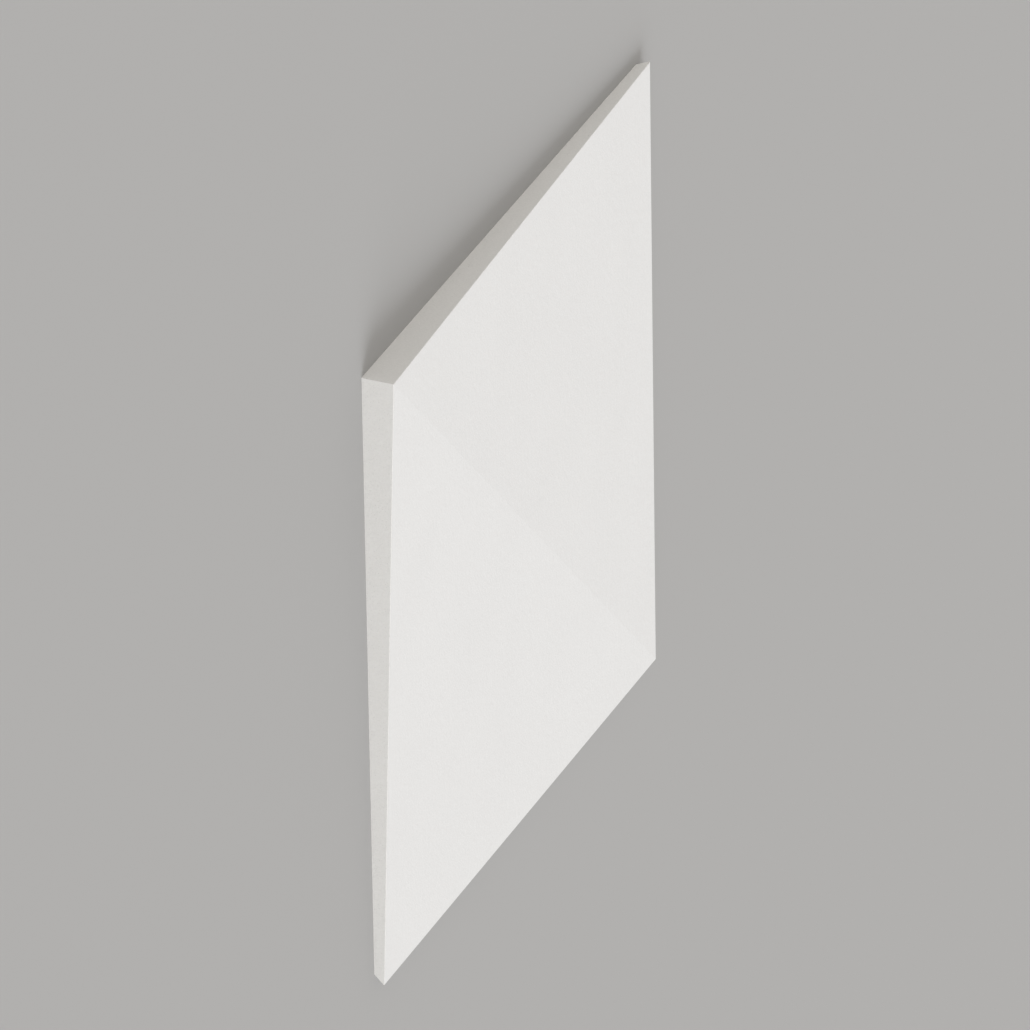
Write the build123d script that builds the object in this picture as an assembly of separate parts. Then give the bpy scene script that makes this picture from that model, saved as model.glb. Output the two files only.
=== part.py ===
from build123d import *
from math import radians, tan
import os

# Textured gypsum wall panel: one square casting with a flat back and a face folded along its diagonal.
# It lies on its back. +X runs to the panel's right and +Y to its top, seen from the front, and +Z comes out
# of the face. The origin is under the middle of the face, on the plane of the back.

# Driving dimensions, in millimetres and degrees
panel_side = 600.0      # outside of the face, square in plan
high_corner = 30.0      # thickness where the ridge starts, at the top left corner
side_corner = 9.5       # thickness at the two corners beside the ridge
low_corner = 6.0        # thickness where the ridge runs out, at the bottom right corner
edge_land = 0.8         # upright strip under the rim of the two thin sides, above their undercut
undercut = 45.0         # degrees that the two thin sides lean in behind the face
arris = 0.4             # leg of the small bevel that eases the cast edges

# The corners of the face
half = panel_side / 2
top_left = Vector(-half, half, high_corner)
top_right = Vector(half, half, side_corner)
bottom_right = Vector(half, -half, low_corner)
bottom_left = Vector(-half, -half, side_corner)

# The sides, clockwise: where each one's rim starts and ends, and which way it looks
left_side = (bottom_left, top_left, Vector(-1, 0, 0))
top_side = (top_left, top_right, Vector(0, 1, 0))
right_side = (top_right, bottom_right, Vector(1, 0, 0))
bottom_side = (bottom_right, bottom_left, Vector(0, -1, 0))
down = Vector(0, 0, -1)


# A plane that holds a line and a second direction; what lies in front of it is cut away
def cut_along(start, end, direction):
    return Plane(origin=start, z_dir=(end - start).cross(direction))


# Two flat facets that meet on the ridge, from the high corner to the low one
def facet_cuts():
    return [
        cut_along(top_left, bottom_right, top_right - top_left),
        cut_along(top_left, bottom_left, bottom_right - top_left),
    ]


# The two thin sides lean in behind the face
def undercut_cuts():
    lean = tan(radians(undercut))
    below_rim = down * edge_land
    return [
        cut_along(start + below_rim, end + below_rim, down - outward * lean)
        for start, end, outward in (right_side, bottom_side)
    ]


# Small bevels along the rim, and down the corner where the two thick, upright sides meet
def arris_cuts():
    below_rim = down * arris
    cuts = [
        cut_along(start + below_rim, end + below_rim, outward + down)
        for start, end, outward in (left_side, top_side, right_side, bottom_side)
    ]
    beside_corner = top_left + Vector(arris, 0, 0)
    cuts.append(cut_along(beside_corner, beside_corner + down, Vector(-1, -1, 0)))
    return cuts


def gypsum_panel():
    panel = Box(panel_side, panel_side, high_corner, align=(Align.CENTER, Align.CENTER, Align.MIN))
    for cut in facet_cuts() + undercut_cuts() + arris_cuts():
        panel = split(panel, bisect_by=cut, keep=Keep.BOTTOM)
    return panel


os.makedirs("parts", exist_ok=True)
export_step(gypsum_panel(), "parts/gypsum_panel.step")
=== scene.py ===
import math

import bpy
from mathutils import Matrix, Vector


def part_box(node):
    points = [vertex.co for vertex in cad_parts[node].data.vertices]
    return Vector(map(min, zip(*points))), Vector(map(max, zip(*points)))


# A cast gypsum wall panel that lies on its back, on a pale floor in soft studio light.
# Lengths are in metres and angles in degrees, unless a name says otherwise.
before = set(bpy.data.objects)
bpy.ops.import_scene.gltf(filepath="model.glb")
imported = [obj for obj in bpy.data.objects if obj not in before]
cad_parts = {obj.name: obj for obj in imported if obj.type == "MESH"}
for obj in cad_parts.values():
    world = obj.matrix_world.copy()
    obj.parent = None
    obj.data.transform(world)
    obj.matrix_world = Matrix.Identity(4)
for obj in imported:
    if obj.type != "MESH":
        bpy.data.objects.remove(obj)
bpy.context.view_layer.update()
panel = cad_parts["gypsum_panel"]
panel_low, panel_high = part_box("gypsum_panel")
MM = 0.001

# Camera: a very long lens, so the picture is almost without perspective
FRAME_PIXELS = 1030
FOCAL_PIXELS = 30000
SENSOR_MM = 36.0
VIEW_AZIMUTH = 237.8
VIEW_ELEVATION = 20.66
VIEW_ROLL = 101.46
VIEW_DISTANCE = 25.925
AIM = Vector((4.45, 3.54, 5.0)) * MM

# Light: a dome that is brightest at the horizon, so that the low sides are lit, and one broad key lamp
DOME_ZENITH = 0.505
DOME_HORIZON = 1.165
DOME_COLOUR = (1.0, 0.977, 0.943)
KEY_FROM = (-0.28, -0.86, 0.42)
KEY_STRENGTH = 2.16
KEY_SPREAD = 50
KEY_COLOUR = (0.955, 0.99, 1.04)

# Floor: a wide matte square
FLOOR_HALF = 20.0
FLOOR_COLOUR = (0.415, 0.41, 0.405)
FLOOR_ROUGHNESS = 0.9

# Gypsum: its colour, a little creamier off the face as a painted warm tint for the shade on the sides, and
# how dull it is
GYPSUM_COLOUR = {"sides": Vector((0.777, 0.768, 0.748)), "face": Vector((0.775, 0.769, 0.762))}
GYPSUM_ROUGHNESS = (0.86, 0.96)
GYPSUM_GLOSS = 0.35

# Parts of the panel, told apart by how far up they face: where each one starts and where it is full
FACE_FACING = (0.85, 0.95)
RIM_FACING = (0.2, 0.6)
BACK_FACING = (-0.85, -0.95)
RIM_WIDTH = 2 * MM

# Marks made of noise: the size of their features, and how many finer layers they have.
# The noise lies mostly in its range, and only its highest values make nicks.
NOISE_SIZE = {"clouds": 90 * MM, "tooth": 7 * MM, "grain": 1.6 * MM, "nick_and_painted_shade": 3 * MM, "drag": 6 * MM}
NOISE_DETAIL = {"clouds": 3, "tooth": 2, "grain": 4, "nick_and_painted_shade": 2, "drag": 5}
NOISE_RANGE = (0.3, 0.7)
NICK_RANGE = (0.58, 0.7)
DRAG_STRETCH = 16

# Air pores of two kinds: how far apart their places are, the largest radius, and the share that stays shut
PORES = {
    "spacing": 2.8 * MM,
    "radius": {"sides": 0.7 * MM, "face": 0.3 * MM},
    "shut": {"sides": 0.6, "face": 0.94},
}
PINHOLES = {
    "spacing": 1.2 * MM,
    "radius": {"sides": 0.22 * MM, "face": 0.12 * MM},
    "shut": {"sides": 0.5, "face": 0.9},
}

# The share by which noise sways the gypsum's tone both ways, and by which a part or a mark changes it. The
# nicks' darkening is painted shade in their dents
TONE_SWAY = {"clouds": 0.007, "grain": 0.025}
# The pores' darkening is painted shade in their hollows, on top of their dent in the relief
TONE_CHANGE = {"pore_and_painted_shade": -0.28, "rim": 0.012, "nick_and_painted_shade": -0.05, "back": -0.04}

# How far each mark rises from the surface, and the unit that these heights are read in
MARK_RISE = {"tooth": 0.25 * MM, "grain": 0.2 * MM, "pore_and_painted_shade": -0.35 * MM, "nick_and_painted_shade": -0.2 * MM, "drag": 0.5 * MM}
RELIEF_UNIT = 1.0


# Camera

# Looks down on the lying panel, rolled so that the panel's top points up in the picture
def add_camera():
    azimuth, elevation, roll = map(math.radians, (VIEW_AZIMUTH, VIEW_ELEVATION, VIEW_ROLL))
    level = Vector((math.cos(azimuth), math.sin(azimuth), 0))
    outward = Vector((math.sin(azimuth), -math.cos(azimuth), 0))
    back = outward * math.cos(elevation) + Vector((0, 0, math.sin(elevation)))
    right = Matrix.Rotation(roll, 3, back) @ level
    up = back.cross(right)
    data = bpy.data.cameras.new("camera")
    data.sensor_width = SENSOR_MM
    data.lens = SENSOR_MM * FOCAL_PIXELS / FRAME_PIXELS
    camera = bpy.data.objects.new("camera", data)
    turn = Matrix((right, up, back)).transposed().to_4x4()
    camera.matrix_world = Matrix.Translation(AIM + back * VIEW_DISTANCE) @ turn
    bpy.context.scene.collection.objects.link(camera)
    bpy.context.scene.camera = camera


# Shader nodes

# Adds a node and fills its inputs by name or number: a socket is linked and a plain value is set
def add_node(tree, kind, inputs=None, **settings):
    node = tree.nodes.new("ShaderNode" + kind)
    for name, value in settings.items():
        setattr(node, name, value)
    for key, value in (inputs or {}).items():
        if isinstance(value, bpy.types.NodeSocket):
            tree.links.new(value, node.inputs[key])
        else:
            node.inputs[key].default_value = value
    return node


def calculate(tree, operation, *values):
    return add_node(tree, "Math", dict(enumerate(values)), operation=operation).outputs[0]


# Moves a value from the range low to high into the range start to end, and holds it there
def remap(tree, value, low, high, start=0, end=1, smooth=False):
    inputs = {"Value": value, "From Min": low, "From Max": high, "To Min": start, "To Max": end}
    kind = "SMOOTHSTEP" if smooth else "LINEAR"
    return add_node(tree, "MapRange", inputs, interpolation_type=kind).outputs["Result"]


def scale_colour(tree, colour, factor):
    return add_node(tree, "VectorMath", {0: colour, "Scale": factor}, operation="SCALE").outputs["Vector"]


# Goes from one fixed colour to another as the share goes from 0 to 1
def mix_colours(tree, start, end, share):
    change = scale_colour(tree, end - start, share)
    return add_node(tree, "VectorMath", {0: start, 1: change}, operation="ADD").outputs["Vector"]


def new_material(name):
    material = bpy.data.materials.new(name)
    material.use_nodes = True
    return material, material.node_tree, material.node_tree.nodes["Principled BSDF"]


# Light and floor

def add_dome():
    world = bpy.data.worlds.new("dome")
    world.use_nodes = True
    tree = world.node_tree
    background = tree.nodes["Background"]
    background.inputs["Color"].default_value = (*DOME_COLOUR, 1)
    direction = add_node(tree, "TexCoord").outputs["Generated"]
    height = add_node(tree, "SeparateXYZ", {"Vector": direction}).outputs["Z"]
    strength = remap(tree, height, 0, 1, DOME_HORIZON, DOME_ZENITH)
    tree.links.new(strength, background.inputs["Strength"])
    bpy.context.scene.world = world


def add_key():
    data = bpy.data.lights.new("key", "SUN")
    data.energy = KEY_STRENGTH
    data.color = KEY_COLOUR
    data.angle = math.radians(KEY_SPREAD)
    lamp = bpy.data.objects.new("key", data)
    lamp.rotation_mode = "QUATERNION"
    lamp.rotation_quaternion = Vector(KEY_FROM).to_track_quat("Z", "Y")
    bpy.context.scene.collection.objects.link(lamp)


def add_floor():
    material, _, shader = new_material("floor")
    shader.inputs["Base Color"].default_value = (*FLOOR_COLOUR, 1)
    shader.inputs["Roughness"].default_value = FLOOR_ROUGHNESS
    corners = [(-1, -1), (1, -1), (1, 1), (-1, 1)]
    places = [(x * FLOOR_HALF, y * FLOOR_HALF, panel_low.z) for x, y in corners]
    mesh = bpy.data.meshes.new("floor")
    mesh.from_pydata(places, [], [(0, 1, 2, 3)])
    mesh.materials.append(material)
    floor = bpy.data.objects.new("floor", mesh)
    bpy.context.scene.collection.objects.link(floor)


# Gypsum

# Parts of the panel that look different, each 1 on its own part and 0 elsewhere
def panel_parts(tree, place):
    normal = add_node(tree, "NewGeometry").outputs["True Normal"]
    facing = add_node(tree, "SeparateXYZ", {"Vector": normal}).outputs["Z"]
    across = add_node(tree, "SeparateXYZ", {"Vector": place}).outputs
    from_middle_x = calculate(tree, "ABSOLUTE", across["X"])
    from_middle_y = calculate(tree, "ABSOLUTE", across["Y"])
    from_middle = calculate(tree, "MAXIMUM", from_middle_x, from_middle_y)
    outermost = remap(tree, from_middle, panel_high.x - RIM_WIDTH, panel_high.x, smooth=True)
    return {
        "face": remap(tree, facing, *FACE_FACING),
        "rim": calculate(tree, "MULTIPLY", outermost, remap(tree, facing, *RIM_FACING)),
        "back": remap(tree, facing, *BACK_FACING),
    }


def noise(tree, place, mark):
    inputs = {"Vector": place, "Scale": 1 / NOISE_SIZE[mark], "Detail": NOISE_DETAIL[mark]}
    return add_node(tree, "TexNoise", inputs).outputs["Fac"]


# Round air pores, 0 outside and up to 1 in the middle: each cell of a random pattern has one or stays shut.
# The mask dents the relief, and it darkens the colour as painted shade inside the pore
def pores(tree, place, on_face, spacing, radius, shut):
    largest = remap(tree, on_face, 0, 1, radius["sides"], radius["face"])
    shut_here = remap(tree, on_face, 0, 1, shut["sides"], shut["face"])
    cells = add_node(tree, "TexVoronoi", {"Vector": place, "Scale": 1 / spacing}).outputs
    draw = add_node(tree, "SeparateColor", {"Color": cells["Color"]}).outputs["Red"]
    own_radius = remap(tree, draw, shut_here, 1, 0, largest)
    from_centre = calculate(tree, "MULTIPLY", cells["Distance"], spacing)
    inside = calculate(tree, "SUBTRACT", own_radius, from_centre)
    return remap(tree, inside, 0, largest, smooth=True)


# Marks of casting and use: faint clouds, a slight tooth and fine grain all over, air pores that are rare on
# the face and common elsewhere, nicks in the rim, and drag marks where the back was struck off level
def plaster_marks(tree, place, parts):
    # Nicks dent the rim's relief, and their darkening of the colour is painted shade
    nick_and_painted_shade = remap(tree, noise(tree, place, "nick_and_painted_shade"), *NICK_RANGE)
    stretch = {"Vector": place, "Scale": (1 / DRAG_STRETCH, 1, 1)}
    stretched = add_node(tree, "Mapping", stretch).outputs["Vector"]
    drag = noise(tree, stretched, "drag")
    openings = [pores(tree, place, parts["face"], **kind) for kind in (PORES, PINHOLES)]
    return {
        "clouds": noise(tree, place, "clouds"),
        "tooth": noise(tree, place, "tooth"),
        "grain": noise(tree, place, "grain"),
        "pore_and_painted_shade": calculate(tree, "MAXIMUM", *openings),
        "nick_and_painted_shade": calculate(tree, "MULTIPLY", nick_and_painted_shade, parts["rim"]),
        "drag": calculate(tree, "MULTIPLY", drag, parts["back"]),
    }


# The colour of the face or the sides, where the sides' creamier tint is painted warm shade, lightened or
# darkened by every part and mark that changes it
def plaster_colour(tree, parts, marks):
    tone = 1
    for name, share in TONE_SWAY.items():
        sway = remap(tree, marks[name], *NOISE_RANGE, 1 - share, 1 + share)
        tone = calculate(tree, "MULTIPLY", tone, sway)
    present = {**parts, **marks}
    for name, share in TONE_CHANGE.items():
        change = remap(tree, present[name], 0, 1, 1, 1 + share)
        tone = calculate(tree, "MULTIPLY", tone, change)
    # Off the face the colour turns creamier, a painted warm tint for the shaded sides
    plain = mix_colours(tree, GYPSUM_COLOUR["sides"], GYPSUM_COLOUR["face"], parts["face"])
    return scale_colour(tree, plain, tone)


# The direction of the surface under the heights of all marks together
def plaster_relief(tree, marks):
    height = 0
    for name, rise in MARK_RISE.items():
        height = calculate(tree, "MULTIPLY_ADD", marks[name], rise, height)
    return add_node(tree, "Bump", {"Height": height, "Distance": RELIEF_UNIT}).outputs["Normal"]


# Matte cast plaster
def gypsum_material():
    material, tree, shader = new_material("cast_gypsum")
    place = add_node(tree, "TexCoord").outputs["Object"]
    parts = panel_parts(tree, place)
    marks = plaster_marks(tree, place, parts)
    roughness = remap(tree, marks["grain"], *NOISE_RANGE, *GYPSUM_ROUGHNESS)
    tree.links.new(plaster_colour(tree, parts, marks), shader.inputs["Base Color"])
    tree.links.new(roughness, shader.inputs["Roughness"])
    tree.links.new(plaster_relief(tree, marks), shader.inputs["Normal"])
    shader.inputs["Specular IOR Level"].default_value = GYPSUM_GLOSS
    return material


add_camera()
add_dome()
add_key()
add_floor()
panel.data.materials.clear()
panel.data.materials.append(gypsum_material())
bpy.context.scene.view_settings.view_transform = "Standard"
